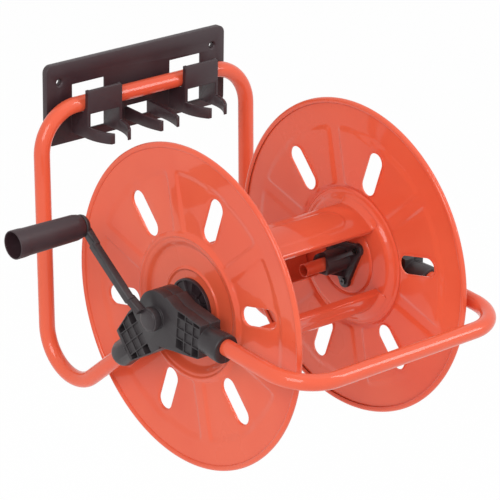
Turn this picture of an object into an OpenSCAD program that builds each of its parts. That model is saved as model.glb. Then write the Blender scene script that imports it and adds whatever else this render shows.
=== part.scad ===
// Wall mounted hose reel: a wall bracket, a bent tube frame, an open drum and a hand crank.
// Millimetres. The origin is midway between the two wall screw holes, on the wall plane.
// X runs along the drum's axle with the crank at minus X, minus Y points out of the wall, Z is up.

/* [Wall bracket] */
// width of the wall plate
plate_w = 270; // [262:1:290]
// height of the wall plate
plate_h = 98; // [94:1:110]
// depth of the wall plate's edge
plate_t = 8; // [7:0.5:10]
// distance between the two wall screw holes
hole_span = 232; // [226:1:236]
// diameter of each wall screw hole
hole_d = 6.5; // [5:0.5:7]
// distance between the centres of the two tube hooks
hook_span = 147; // [140:1:160]
// outside width of one tube hook
hook_w = 51; // [48:1:56]
// thickness of the hook cheeks and fork prongs
hook_wall = 4; // [3:0.5:5]
// clear gap between the tips of one fork's prongs
fork_gap = 20.5; // [16:0.5:24]
// how far the fork prongs stand out of the wall
fork_out = 69; // [62:1:74]

/* [Frame] */
// outside diameter of the frame tube
tube_d = 19; // [18:0.5:20]
// wall of the frame tube
tube_wall = 1.5; // [1:0.1:2]
// distance from a flange's rim plane to the centre line of the side arm beside it
arm_gap = 31; // [30:0.5:40]
// centre line radius of every tube bend
bend_r = 52; // [46:1:58]
// drum axle's distance from the wall
axle_out = 250; // [244:1:262]
// drum axle's distance below the wall screw holes
axle_drop = 201; // [196:1:212]
// distance of the lower rear corner from the wall, before rounding
low_out = 33.5; // [31:0.5:38]
// distance of the lower rear corner below the wall screw holes, before rounding
low_drop = 392.5; // [384:0.5:402]
// distance of the front bar from the wall
front_out = 475.5; // [470:0.5:490]
// distance of the front bar below the wall screw holes
front_drop = 216.5; // [210:0.5:224]

/* [Drum] */
// outside diameter of the two flanges
flange_d = 380; // [366:1:388]
// distance between the rim planes of the two flanges
drum_w = 250; // [220:1:300]
// thickness of the pressed steel sheet
sheet_t = 1.2; // [1:0.1:1.5]
// radius of the rolled rim bead
rim_r = 3.5; // [3:0.1:4]
// width of the flat ribs between the pressed panels
rib_w = 15; // [12:0.5:18]
// depth of the pressed panels
panel_deep = 3.8; // [3:0.1:4.5]
// width of the flange slots
slot_w = 22; // [18:0.5:24]
// height of the lip around each flange slot
slot_lip = 3; // [2:0.5:4]
// outside radius of the drum bars
bar_r = 67.5; // [65:0.5:68]
// half of the angle that one drum bar covers
bar_half = 26; // [22:1:30]
// depth of the folded edges of a drum bar
bar_lip = 9; // [6:0.5:12]

/* [Hub] */
// diameter of the axle and of the water tube
axle_d = 16; // [15:0.5:17]
// radius of the hub disc on the outside of each flange
hub_r = 33; // [31:0.5:36]
// thickness of the hub disc
hub_t = 4.5; // [4:0.1:5]
// radius of the hub screws' circle
hub_screw_r = 28; // [27:0.5:29]
// where the water tube's open end is, from the middle of the drum
tube_end_x = 50; // [40:1:55]
// length of the water tube's tail that takes the hose
tail_len = 25; // [20:1:28]
// radial running clearance of the axle in its bushes
run_gap = 0.05; // [0.02:0.01:0.1]
// gap between faces that move past each other
face_gap = 0.4; // [0.3:0.05:0.6]

/* [Crank] */
// crank radius, from the axle to the grip
crank_r = 134; // [124:1:140]
// angle of the crank arm above the line from the axle to the wall
crank_turn = 38.5; // [30:0.5:45]
// length of the grip
grip_len = 94; // [86:1:110]
// diameter of the grip at its outer end
grip_d = 33; // [30:0.5:36]
// diameter of the grip's pin
pin_d = 8; // [7:0.5:9]

/* [Hidden] */
$fn = 96;
e = 0.01;
// clearance of a seated piece that doesn't move in its seat
seat = 0.05;
tube_r = tube_d / 2;
arm_x = drum_w / 2 + arm_gap;

// the top bar's centre line lies in the hooks
hook_back = 6.3;
top_y = -(plate_t + hook_back + tube_r);
top_z = -24.7;
plate_top = 22.4;
plate_low = plate_top - plate_h;
hook_top = -6;
hook_low = plate_low + 11.5;
lip_y = top_y - tube_r - face_gap - 5.5;
hook_turn = lip_y + 3;
lip_t = 4;

// frame corners in the side plane, as [Y, Z] from the axle
axle = [-axle_out, -axle_drop];
top_c = [top_y, top_z] - axle;
low_c = [-low_out, -low_drop] - axle;
front_c = [-front_out, -front_drop] - axle;
// points that the two arms aim at
rear_aim = [0, -8.8];
front_aim = [0, 2.5];
function unit(v) = v / norm(v);
function ang(v) = atan2(v[1], v[0]);
function wrap(a) = a > 180 ? a - 360 : (a < -180 ? a + 360 : a);
function between(u, w) = acos(u * w);
function setback(u, w, r) = r / tan(between(u, w) / 2);
function bend_mid(c, u, w, r) = c + unit(u + w) * r / sin(between(u, w) / 2);
leg_dir = unit(top_c - low_c);
rear_dir = unit(low_c - rear_aim);
front_dir = unit(front_c - front_aim);
leg_tilt = atan2(leg_dir[0], leg_dir[1]);
leg_len = norm(top_c - low_c);
rear_ang = ang(rear_dir);
front_ang = ang(front_dir);
arm_stop = 26;
rear_end = rear_aim + rear_dir * arm_stop;

// housing depths from the arm's centre plane
half_t = tube_r + 5;
inner_t = tube_r + 5.5;
nose_r = tube_r + 6.3;
mouth_r = tube_r + 7.5;
mouth_drop = 3;
bush_r = axle_d / 2 + 3;
ring_r = 22;
crank_ring_r = 13.6;
ring_t = 3;

// flange stations, measured inboard from the rim plane
rim_x = drum_w / 2;
flange_r = flange_d / 2;
panel_out = flange_r - 32;
panel_in = 87;
base_s = 1;
dish_s = 7;
dish_r = bar_r + 1.5;
cone_w = 9;
hub_hole = 20.2;
rib_turn = 78.3;
slot_turn = 48.3;
slot_in = 102;
slot_out = panel_out - slot_w / 2 - 11;
sheet_out = rim_x - dish_s;
sheet_in = sheet_out - sheet_t;
hub_face = sheet_out + hub_t;
bush_face = arm_x - inner_t - 2;
neck_face = bush_face - face_gap;
neck_r = 18;

// inner hub
lobe_t = 5;
lobe_r = 8;
lobe_turn = 24;
lobe_face = sheet_in - lobe_t;
barrel_r = axle_d / 2 + 6;
barrel_end = lobe_face - 34;

// crank stations along minus X
ring_face = arm_x + half_t + ring_t;
boss_in = ring_face + face_gap + 0.4;
boss_out = boss_in + 8.5;
boss_r = 14;
axle_seat = boss_in + 3;
head_seat = boss_in + 4.4;
head_t = 1.8;
cap_r = 12.4;
// the arm leans out from the boss in a short neck, then less up to the knuckle
neck_d = 9;
neck_x = boss_in + 9;
neck_lean = 11;
foot_d = 29;
foot_x = boss_in + 14.5;
arm_lean = 1.8;
arm_end = crank_r - 26;
knuckle_r = 12.9;
knuckle_in = boss_in + 11.2;
knuckle_out = boss_in + 19.5;
wrist_x = knuckle_out - 4.3;
grip_in = knuckle_out + face_gap;
grip_out = grip_in + grip_len;
// depth of the hollow in the grip's outer end
grip_well = 20;
grip_floor = grip_out - grip_well;
grip_yz = [cos(crank_turn), sin(crank_turn)] * crank_r;
screw_r = 2.5;

// water inlet stations along plus X
elbow_in = ring_face;
elbow_out = elbow_in + 30;
elbow_r = 15;
nipple_r = 8.5;
tube_far_x = elbow_in + 17;
seal_r = 1.2;
seal_a = elbow_in + 6;
seal_b = elbow_in + 12;

module at_axle() {
  translate([0, axle[0], axle[1]]) children();
}

// extrudes a drawing in the Y Z plane from x over a length t
module side_plate(x, t) {
  translate([x, 0, 0]) rotate([90, 0, 90]) linear_extrude(t) children();
}

// turns a profile drawn as [radius, x] about the drum's axle
module turned() {
  rotate([0, 90, 0]) rotate_extrude() children();
}

module rod_x(x0, x1, r) {
  translate([min(x0, x1), 0, 0]) rotate([0, 90, 0]) cylinder(h = abs(x1 - x0), r = r);
}

module at_yz(p) {
  translate([0, p[0], p[1]]) children();
}

// rectangle with round corners
module round_rect(w, h, r) {
  square([w - 2 * r, h], center = true);
  square([w, h - 2 * r], center = true);
  for (sx = [-1, 1], sy = [-1, 1]) translate([sx * (w / 2 - r), sy * (h / 2 - r)]) circle(r);
}

// section of the frame tube
module tube_ring() {
  difference() {
    circle(tube_r);
    circle(tube_r - tube_wall);
  }
}

// straight length of frame tube in the local plane
module run(p, q) {
  translate([p[0], p[1], 0]) rotate([0, 0, ang(q - p)]) rotate([0, 90, 0])
    linear_extrude(norm(q - p)) tube_ring();
}

// bend at corner c between the directions u and w, in the local plane
module bend(c, u, w) {
  m = bend_mid(c, u, w, bend_r);
  a = ang(c + u * setback(u, w, bend_r) - m);
  b = ang(c + w * setback(u, w, bend_r) - m);
  s = wrap(b - a);
  translate([m[0], m[1], 0]) rotate([0, 0, s > 0 ? a : b]) rotate_extrude(angle = abs(s))
    translate([bend_r, 0]) tube_ring();
}

// one side of the wall bracket's hooks and forks, seen from above
module prong_plan(half_root, half_tip, straight_to) {
  reach = fork_out + straight_to;
  shift = half_root - half_tip;
  big = round(50 * (reach * reach + shift * shift) / shift) / 100;
  translate([half_root - hook_wall, straight_to]) square([hook_wall, -straight_to - plate_t + 1]);
  translate([half_root - big, straight_to]) intersection() {
    difference() {
      circle(big);
      circle(big - hook_wall);
    }
    translate([0, -reach]) square([big + 1, reach]);
  }
}

module prong_pair(x, half_root, half_tip, straight_to) {
  for (m = [0, 1]) translate([x, 0, hook_low - 5]) mirror([m, 0, 0])
    linear_extrude(hook_top - hook_low + 10) prong_plan(half_root, half_tip, straight_to);
}

// side shape of a fork prong, which drops a little to its tip
module prong_side() {
  polygon([[1 - plate_t, hook_low], [-fork_out - 1, hook_low - 1.5], [-fork_out - 1, hook_low + 11.5],
    [1 - plate_t, hook_low + 15]]);
}

// side shape of a hook cheek with its open seat for the tube
module cheek_side() {
  difference() {
    polygon([[1 - plate_t, hook_low], [1 - plate_t, top_z - 2], [top_y, top_z - 2], [top_y, hook_top],
      [lip_y + lip_t, hook_top], [lip_y, hook_top - 4], [lip_y, hook_low + 14], [lip_y + 8, hook_low]]);
    translate([top_y, top_z]) circle(tube_r + face_gap);
    translate([top_y - tube_r - face_gap, top_z]) square([tube_d + 2 * face_gap, 60]);
  }
}

module wall_bracket() color([0.16, 0.16, 0.18]) {
  win_w = hook_w - 2 * hook_wall + 5;
  win_h = hook_top - hook_low;
  difference() {
    union() {
      difference() {
        translate([0, 0, (plate_top + plate_low) / 2]) rotate([90, 0, 0])
          linear_extrude(plate_t) round_rect(plate_w, plate_h, 9);
        // hollow back with the screw bosses
        translate([0, e, (plate_top + plate_low) / 2]) rotate([90, 0, 0]) linear_extrude(plate_t - 3 + e)
          difference() {
            round_rect(plate_w - 6, plate_h - 6, 6);
            for (s = [-1, 1]) translate([s * hole_span / 2, -(plate_top + plate_low) / 2]) circle(9);
          }
      }
      // hooks for the top bar, each ending in a fork
      for (s = [-1, 1]) {
        intersection() {
          prong_pair(s * hook_span / 2, hook_w / 2, fork_gap / 2 + hook_wall, hook_turn);
          translate([s * hook_span / 2, 0, 0]) side_plate(-40, 80) union() {
            cheek_side();
            prong_side();
          }
        }
        // front wall of the hook
        translate([s * hook_span / 2, lip_y + lip_t, (hook_top + top_z - 10) / 2]) rotate([90, 0, 0])
          linear_extrude(lip_t) round_rect(hook_w, hook_top - top_z + 10, 4);
      }
      // middle fork
      intersection() {
        prong_pair(0, 20, fork_gap / 2 + hook_wall, hook_turn);
        side_plate(-40, 80) prong_side();
      }
    }
    for (s = [-1, 1]) {
      translate([s * hole_span / 2, 1, 0]) rotate([90, 0, 0]) cylinder(h = plate_t + 2, d = hole_d);
      translate([s * hole_span / 2, -plate_t - e, 0]) rotate([-90, 0, 0])
        cylinder(h = 2, r1 = hole_d / 2 + 2, r2 = hole_d / 2);
      translate([s * hook_span / 2 - win_w / 2, -plate_t - e, hook_low]) cube([win_w, plate_t + 1, win_h]);
    }
    translate([-16, -plate_t - e, hook_low]) cube([32, plate_t + 1, 15]);
  }
}

// bend at a leg's lower end, which turns out of the leg's line, and the arm that follows it
module elbow_and_arm(turn, length) {
  translate([0, 0, bend_r]) rotate([180, 90, 0]) {
    rotate_extrude(angle = turn) translate([bend_r, 0]) tube_ring();
    rotate([0, 0, turn]) translate([bend_r, 0, 0]) rotate([-90, 0, 0]) linear_extrude(length) tube_ring();
  }
}

// the rear tube: top bar, two legs and two arms that rise to the housings
module rear_tube() color([0.86, 0.25, 0.16]) at_axle() {
  b = setback(leg_dir, -rear_dir, bend_r);
  turn = 180 - between(leg_dir, -rear_dir);
  at_yz(top_c) rotate([90 - leg_tilt, 0, 0]) {
    run([-arm_x + bend_r, 0], [arm_x - bend_r, 0]);
    for (s = [-1, 1]) {
      bend([s * arm_x, 0], [-s, 0], [0, -1]);
      run([s * arm_x, -bend_r], [s * arm_x, b - leg_len]);
      translate([s * arm_x, b - leg_len, 0]) elbow_and_arm(turn, norm(low_c - rear_end) - b);
    }
  }
}

// the front tube: front bar and two arms
module front_tube() color([0.86, 0.25, 0.16]) at_axle() {
  reach = norm(front_c - front_aim) - arm_stop;
  at_yz(front_c) rotate([ang(-front_dir), 0, 0]) {
    run([-arm_x + bend_r, 0], [arm_x - bend_r, 0]);
    for (s = [-1, 1]) {
      bend([s * arm_x, 0], [-s, 0], [0, 1]);
      run([s * arm_x, bend_r], [s * arm_x, reach]);
    }
  }
}

// outline of a side housing from the axle, following the two arms
module housing_outline() {
  circle(31);
  rotate(rear_ang) polygon([[0, 0], [18, 27.5], [43, 25], [79, 16], [79, -23], [37, -30], [20, -31]]);
  rotate(front_ang)
    polygon([[0, 0], [6, 33], [20, 31], [32, 28.4], [49, 25.6], [74, 20.5], [74, -19.6], [48, -22.4],
      [31, -23.8], [14, -31]]);
}

// lays a shape drawn along Z along one of the two arms, from the point that it aims at
module along_rear() {
  at_yz(rear_aim) rotate([rear_ang - 90, 0, 0]) children();
}

module along_front() {
  at_yz(front_aim) rotate([front_ang - 90, 0, 0]) children();
}

// round noses that the two arms leave through, the front one a little flared and lower than its arm
module housing_noses() {
  along_rear() rotate_extrude()
    polygon([[0, 72.3], [nose_r, 72.3], [nose_r, 97], [nose_r - 1.5, 102], [nose_r - 4, 105], [0, 105]]);
  along_front() translate([0, -mouth_drop, 0]) rotate_extrude()
    polygon([[0, 73.2], [mouth_r - 1, 73.2], [mouth_r - 1, 80], [mouth_r, 94], [mouth_r, 102],
      [mouth_r - 1, 103], [0, 103]]);
}

module housing_bores() {
  along_rear() translate([0, 0, arm_stop - 1]) cylinder(h = 120, r = tube_r + seat);
  along_front() translate([0, 0, arm_stop - 1]) cylinder(h = 120, r = tube_r + seat);
  rod_x(-60, 60, bush_r + seat);
}

// screw places in the side plane
house_screws = [
  [-2, 23], [-6, -25],
  rear_aim + rear_dir * 48 + [-rear_dir[1], rear_dir[0]] * 14,
  rear_aim + rear_dir * 48 - [-rear_dir[1], rear_dir[0]] * 15,
  front_aim + front_dir * 54 + [-front_dir[1], front_dir[0]] * 14.5,
  front_aim + front_dir * 54 - [-front_dir[1], front_dir[0]] * 14.5];

// open cells on the wings of the outer shell, deep in the corners and shallow over the arms and screws
module wing_cells(shallow, deep) {
  pitch = 13.4;
  row = 12.4;
  rib = 1.2;
  for (d = [shallow, deep]) rotate([90, 0, 90]) translate([0, 0, half_t - d]) linear_extrude(d + 1) {
    rotate(rear_ang) intersection() {
      polygon([[35.6, 24], [43, 23.6], [77.6, 15], [77.6, -21.8], [37.5, -28.5], [35.6, -28.6]]);
      for (i = [0 : 2], j = [-2 : 1]) if ((d == deep) == (i != 1 && abs(j + 0.5) > 1))
        translate([35.6 + i * pitch, -3 + j * pitch]) square(pitch - rib);
    }
    rotate(front_ang) intersection() {
      polygon([[34, 26.8], [49, 24.3], [72.8, 19.5], [72.8, -18.4], [48, -21.1], [34, -22.3]]);
      for (i = [0 : 2], j = [-3 : 0]) if ((d == deep) == (i != 1 && abs(j + 1.5) > 1))
        translate([35.4 + i * pitch, 10.6 + j * row]) square([pitch - rib, row - rib]);
    }
  }
}

// outer half of a housing, drawn with the arm's centre plane at x = 0 and the outside at plus X
module shell_outer(r) {
  difference() {
    union() {
      side_plate(0, half_t) housing_outline();
      rod_x(half_t - 1, half_t + ring_t, r);
      intersection() {
        housing_noses();
        translate([0, -200, -200]) cube([60, 400, 400]);
      }
    }
    housing_bores();
    wing_cells(2.6, 9);
    for (p = house_screws) at_yz(p) rod_x(-1, 8, 1.5 + seat);
  }
}

module shell_inner() {
  difference() {
    union() {
      side_plate(-inner_t, inner_t) housing_outline();
      intersection() {
        housing_noses();
        translate([-60, -200, -200]) cube([60, 400, 400]);
      }
    }
    housing_bores();
    for (p = house_screws) at_yz(p) {
      rod_x(-inner_t - 1, 1, 1.5 + seat);
      rod_x(-inner_t - 1, -inner_t + 3, 3 + seat);
    }
  }
}

module shell_screws() {
  for (p = house_screws) at_yz(p) {
    rod_x(-inner_t + 3, 7.5, 1.5);
    difference() {
      rod_x(-inner_t + 0.4, -inner_t + 3, 3);
      translate([-inner_t + 0.9, 0, 0]) cube([1.4, 4, 0.9], center = true);
      translate([-inner_t + 0.9, 0, 0]) cube([1.4, 0.9, 4], center = true);
    }
  }
}

// flanged sleeve that carries the axle
module shell_bush() {
  difference() {
    union() {
      rod_x(-inner_t - 2, half_t + ring_t, bush_r);
      rod_x(-inner_t - 2, -inner_t - seat, bush_r + 4);
    }
    rod_x(-60, 60, axle_d / 2 + run_gap);
  }
}

module inlet_side() {
  at_axle() translate([arm_x, 0, 0]) children();
}

module crank_side() {
  at_axle() mirror([1, 0, 0]) translate([arm_x, 0, 0]) children();
}

module crank_housing_outer() color([0.17, 0.17, 0.19]) crank_side() shell_outer(crank_ring_r);

module crank_housing_inner() color([0.17, 0.17, 0.19]) crank_side() shell_inner();

module crank_housing_screws() color([0.7, 0.7, 0.72]) crank_side() shell_screws();

module crank_bush() color([0.85, 0.84, 0.8]) crank_side() shell_bush();

// two threaded places for the elbow's flange
elbow_screws = [[18, 0], [-18, 0]];

module inlet_housing_outer() color([0.17, 0.17, 0.19]) inlet_side() difference() {
  shell_outer(ring_r);
  for (p = elbow_screws) at_yz(p) rod_x(half_t - 7, half_t + ring_t + 1, 1.5 + seat);
}

module inlet_housing_inner() color([0.17, 0.17, 0.19]) inlet_side() shell_inner();

module inlet_housing_screws() color([0.7, 0.7, 0.72]) inlet_side() shell_screws();

module inlet_bush() color([0.85, 0.84, 0.8]) inlet_side() shell_bush();

// elbow that takes the feed hose on a round nipple pointing down
module inlet_elbow() color([0.17, 0.17, 0.19]) at_axle() {
  tail_x = elbow_out - 8;
  difference() {
    union() {
      rod_x(elbow_in, elbow_out, elbow_r);
      side_plate(elbow_in, 4) {
        square([36, 12], center = true);
        for (p = elbow_screws) translate(p) circle(6);
      }
      translate([tail_x, 0, -46]) cylinder(h = 46, r = nipple_r);
      translate([tail_x, 0, -26]) cylinder(h = 5, r = 12);
    }
    rod_x(elbow_in - 1, tube_far_x + face_gap, axle_d / 2 + run_gap);
    rod_x(tube_far_x, tail_x + 5, 5.5);
    translate([tail_x, 0, -47]) cylinder(h = 47, r = 5.5);
    for (x = [seal_a, seal_b]) rod_x(x - seal_r - seat, x + seal_r + seat, axle_d / 2 + 2 * seal_r + 0.1);
    for (p = elbow_screws) at_yz(p) rod_x(elbow_in - 1, elbow_in + 5, 1.5 + seat);
  }
}

module inlet_elbow_screws() color([0.7, 0.7, 0.72]) at_axle() {
  for (p = elbow_screws) at_yz(p) {
    rod_x(arm_x + half_t - 6, elbow_in + 4, 1.5);
    rod_x(elbow_in + 4, elbow_in + 6, 3);
  }
}

// two round rings that seal the turning water tube
module inlet_seals() color([0.1, 0.1, 0.1]) at_axle() {
  for (x = [seal_a, seal_b]) turned() translate([axle_d / 2 + seal_r + run_gap, x]) circle(seal_r);
}

// ring of six pressed panels, inset by g
module panels(g) {
  difference() {
    circle(panel_out - g);
    circle(panel_in + g);
    for (k = [0 : 5]) rotate(rib_turn + 60 * k) translate([0, -rib_w / 2 - g])
      square([flange_d, rib_w + 2 * g]);
  }
}

module slots(g) {
  for (k = [0 : 5]) rotate(slot_turn + 60 * k) {
    translate([slot_in, -slot_w / 2 - g]) square([slot_out - slot_in, slot_w + 2 * g]);
    for (r = [slot_in, slot_out]) translate([r, 0]) circle(slot_w / 2 + g);
  }
}

// half section of the sheet, as [radius, distance inboard from the rim plane]
sheet_line = [[flange_r - 1.55 * rim_r, -0.77 * rim_r], [panel_out + 2, base_s], [86.5, base_s],
  [84.5, base_s - 1.8],
  [81.5, base_s - 1.8], [79.5, base_s], [dish_r + cone_w, base_s], [dish_r, dish_s], [46.5, dish_s],
  [45, dish_s - 1.8], [43, dish_s - 1.8], [41.5, dish_s], [hub_hole, dish_s]];

module sheet_section() {
  n = len(sheet_line);
  outside = [for (p = sheet_line) [p[0], rim_x - p[1]]];
  inside = [for (i = [n - 1 : -1 : 0]) [sheet_line[i][0], rim_x - sheet_line[i][1] - sheet_t]];
  polygon(concat(outside, inside));
  // rolled rim with its gap on the drum side
  translate([flange_r - rim_r, rim_x]) difference() {
    circle(rim_r);
    circle(rim_r - sheet_t);
    polygon([[0, 0], [-2 * rim_r, 0.3 * rim_r], [-2 * rim_r, -1.4 * rim_r]]);
  }
}

// pressed flange with its outside towards plus X
module flange() {
  floor_x = rim_x - base_s - panel_deep - sheet_t;
  difference() {
    union() {
      difference() {
        turned() sheet_section();
        side_plate(rim_x - base_s - sheet_t - 1, sheet_t + 2) panels(0);
      }
      side_plate(floor_x, panel_deep + sheet_t) difference() {
        panels(0);
        panels(sheet_t);
      }
      side_plate(floor_x, sheet_t) panels(sheet_t / 2);
      side_plate(floor_x - slot_lip, slot_lip + sheet_t) slots(sheet_t);
    }
    side_plate(floor_x - slot_lip - 1, slot_lip + sheet_t + 2) slots(0);
    for (k = [0 : 2]) rotate([lobe_turn + 120 * k, 0, 0])
      at_yz([hub_screw_r, 0]) rod_x(sheet_in - 1, sheet_out + 1, 2.3);
  }
}

module crank_flange() color([0.86, 0.25, 0.16]) at_axle() mirror([1, 0, 0]) flange();

module inlet_flange() color([0.86, 0.25, 0.16]) at_axle() flange();

// sector between two radii and plus or minus a half angle
module sector(r0, r1, half) {
  intersection() {
    difference() {
      circle(r1);
      circle(r0);
    }
    polygon([[0, 0], [2 * r1 * cos(half), 2 * r1 * sin(half)], [3 * r1, 0],
      [2 * r1 * cos(half), -2 * r1 * sin(half)]]);
  }
}

// section of a bar's end tab along the cone of the flange, as [radius, x]
cone_dir = unit([cone_w, dish_s - base_s]);
tab_low = [dish_r, sheet_in - seat];
tab_high = tab_low + cone_dir * 7.8;
tab_side = [cone_dir[1], -cone_dir[0]] * sheet_t;
tab_foot = tab_low + tab_side - cone_dir * (dish_r + tab_side[0] - bar_r) / cone_dir[0];
bar_tab = [[bar_r - sheet_t / 2, sheet_in - seat], tab_low, tab_high, tab_high + tab_side,
  tab_foot, [bar_r - sheet_t / 2, tab_foot[1]]];

// bent sheet bar that joins the flanges, centred on plus Y before it is turned into place
module drum_bar() {
  side_plate(-sheet_in, 2 * sheet_in) {
    sector(bar_r - sheet_t, bar_r, bar_half);
    for (s = [-1, 1]) rotate(s * bar_half) translate([bar_r - bar_lip, s > 0 ? -sheet_t : 0])
      square([bar_lip - sheet_t / 2, sheet_t]);
  }
  // long raised panel
  side_plate(-sheet_in + 28, 2 * sheet_in - 56) sector(bar_r - sheet_t / 2, bar_r + 0.8, bar_half - 10);
  // end tabs that lie on the cones of the flanges
  for (m = [0, 1]) mirror([m, 0, 0]) rotate([0, 90, 0]) rotate([0, 0, 90 - bar_half + 1.5])
    rotate_extrude(angle = 2 * bar_half - 3) polygon(bar_tab);
}

module drum_bar_1() color([0.84, 0.24, 0.15]) at_axle() rotate([108, 0, 0]) drum_bar();

module drum_bar_2() color([0.84, 0.24, 0.15]) at_axle() rotate([228, 0, 0]) drum_bar();

module drum_bar_3() color([0.84, 0.24, 0.15]) at_axle() rotate([348, 0, 0]) drum_bar();

module hub_places() {
  for (k = [0 : 2]) rotate([lobe_turn + 120 * k, 0, 0]) at_yz([hub_screw_r, 0]) children();
}

// ribbed disc outside the flange with a neck that reaches the bush
module hub_outer() {
  difference() {
    union() {
      rod_x(sheet_out, hub_face, hub_r);
      rod_x(hub_face - 1, neck_face, neck_r);
      rod_x(sheet_in, sheet_out + 1, hub_hole - seat);
    }
    rod_x(sheet_in - 1, neck_face + 1, axle_d / 2 + seat);
    difference() {
      rod_x(hub_face - 2.2, hub_face + 1, hub_r - 2.5);
      rod_x(hub_face - 3, hub_face + 2, neck_r);
      for (k = [0 : 11]) rotate([lobe_turn + 15 + 30 * k, 0, 0])
        translate([hub_face - 3, 0, -0.8]) cube([5, hub_r, 1.6]);
      hub_places() rod_x(hub_face - 3, hub_face + 2, 4.2);
    }
    hub_places() rod_x(sheet_out - 1, sheet_out + 3.2, 2 + seat);
  }
}

// three lobed plate inside the drum with a split barrel that grips the axle
module hub_inner() {
  difference() {
    union() {
      side_plate(lobe_face, lobe_t) {
        circle(barrel_r + 3);
        for (k = [0 : 2]) rotate(lobe_turn + 120 * k) translate([hub_screw_r, 0]) circle(lobe_r);
        // straight sides from lobe to lobe
        polygon([for (k = [0 : 2], t = [-60, 60])
          hub_screw_r * [cos(lobe_turn + 120 * k), sin(lobe_turn + 120 * k)]
            + (lobe_r - 1.2) * [cos(lobe_turn + 120 * k + t), sin(lobe_turn + 120 * k + t)]]);
      }
      rod_x(barrel_end, lobe_face + 1, barrel_r);
      // webs from the barrel to the lobes
      intersection() {
        for (k = [0 : 2]) rotate([lobe_turn + 120 * k, 0, 0])
          translate([0, 0, -2.5]) linear_extrude(5)
            polygon([[lobe_face + 1, 0], [lobe_face + 1, hub_screw_r - 5],
              [lobe_face - 22, barrel_r], [lobe_face - 22, 0]]);
        rod_x(barrel_end, lobe_face + 1, 60);
      }
    }
    rod_x(barrel_end - 1, sheet_in + 1, axle_d / 2 + seat);
    // mouth cut back on two sides
    translate([barrel_end - 3, 0, 0]) rotate([lobe_turn + 60, 0, 0]) rotate([90, 0, 0])
      cylinder(h = 80, r = axle_d / 2 + 1, center = true);
    hub_places() rod_x(lobe_face - 1, sheet_in + 1, 2 + seat);
  }
}

module hub_screws() {
  hub_places() {
    rod_x(lobe_face, sheet_out + 3, 2);
    difference() {
      rod_x(lobe_face - 2.4, lobe_face, 4);
      translate([lobe_face - 2.2, 0, 0]) cube([2, 5, 1], center = true);
      translate([lobe_face - 2.2, 0, 0]) cube([2, 1, 5], center = true);
    }
  }
}

module crank_hub_outer() color([0.17, 0.17, 0.19]) at_axle() mirror([1, 0, 0]) hub_outer();

module crank_hub_inner() color([0.17, 0.17, 0.19]) at_axle() mirror([1, 0, 0]) hub_inner();

module crank_hub_screws() color([0.7, 0.7, 0.72]) at_axle() mirror([1, 0, 0]) hub_screws();

module inlet_hub_outer() color([0.17, 0.17, 0.19]) at_axle() hub_outer();

module inlet_hub_inner() color([0.17, 0.17, 0.19]) at_axle() hub_inner();

module inlet_hub_screws() color([0.7, 0.7, 0.72]) at_axle() hub_screws();

// steel axle from the crank into the crank side hub
module crank_axle() color([0.72, 0.72, 0.74]) at_axle() difference() {
  rod_x(-barrel_end - 8, -axle_seat, axle_d / 2);
  rod_x(-boss_in + 8, -axle_seat - 1, screw_r + seat);
}

// water tube on the axle's line, open inside the drum and turning in the elbow
module water_tube() color([0.86, 0.25, 0.16]) at_axle() difference() {
  union() {
    rod_x(tube_end_x, tube_end_x + tail_len, axle_d / 2 - 0.2);
    rod_x(tube_end_x + tail_len, tube_far_x, axle_d / 2);
  }
  rod_x(tube_end_x - 1, tube_far_x + 1, axle_d / 2 - 1.5);
}

// section of the crank arm with broken corners
module arm_section(w, t) {
  polygon([[-t / 2, -w / 2 + 1.2], [-t / 2 + 1.2, -w / 2], [t / 2 - 1.2, -w / 2], [t / 2, -w / 2 + 1.2],
    [t / 2, w / 2 - 0.6], [t / 2 - 0.6, w / 2], [-t / 2 + 1.2, w / 2], [-t / 2, w / 2 - 1.2]]);
}

// straight length of the arm from distance d and station x, leaning outward
module arm_bar(d, x, lean, length, w, t) {
  rotate([crank_turn, 0, 0]) translate([-x, d, 0]) rotate([0, 0, lean]) rotate([-90, 0, 0])
    linear_extrude(length) mirror([1, 0]) arm_section(w, t);
}

module crank_arm() color([0.17, 0.17, 0.19]) at_axle() difference() {
  union() {
    rod_x(-boss_in, -boss_out, boss_r);
    arm_bar(neck_d, neck_x, neck_lean, (foot_d - neck_d) / cos(neck_lean) + 3, 8.6, 11);
    arm_bar(foot_d, foot_x, arm_lean, (arm_end - foot_d) / cos(arm_lean), 9.2, 10.2);
    arm_bar(arm_end - 3, wrist_x, 0, crank_r - arm_end - 3, 10.6, 8.2);
    at_yz(grip_yz) mirror([1, 0, 0]) turned()
      polygon([[0, knuckle_in], [knuckle_r - 5.5, knuckle_in], [knuckle_r - 1.2, knuckle_in + 3.4],
        [knuckle_r, knuckle_in + 6], [knuckle_r, knuckle_out], [0, knuckle_out]]);
  }
  rod_x(-boss_in + 1, -axle_seat, axle_d / 2 + seat);
  rod_x(-boss_in + 1, -boss_out - 1, screw_r + seat);
  rod_x(-head_seat, -boss_out - 1, 9);
  rod_x(-boss_out, -boss_out - 20, cap_r + 0.3);
  at_yz(grip_yz) rod_x(-knuckle_in + 1, -knuckle_out - 1, pin_d / 2 + seat);
}

module crank_screw() color([0.7, 0.7, 0.72]) at_axle() {
  rod_x(-boss_in + 8, -head_seat, screw_r);
  rod_x(-head_seat, -head_seat - head_t, 6);
}

// round cap that closes the crank's boss
module crank_cap() color([0.17, 0.17, 0.19]) at_axle() mirror([1, 0, 0]) turned() {
  polygon([[0, boss_out], [cap_r, boss_out], [cap_r - 0.3, boss_out + 0.6], [cap_r - 1.4, boss_out + 1.2],
    [cap_r - 4, boss_out + 1.8], [0, boss_out + 2.2]]);
  polygon([[6.5, boss_out - 1.5], [9 - seat, boss_out - 1.5], [9 - seat, boss_out + 0.6],
    [6.5, boss_out + 0.6]]);
}

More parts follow.
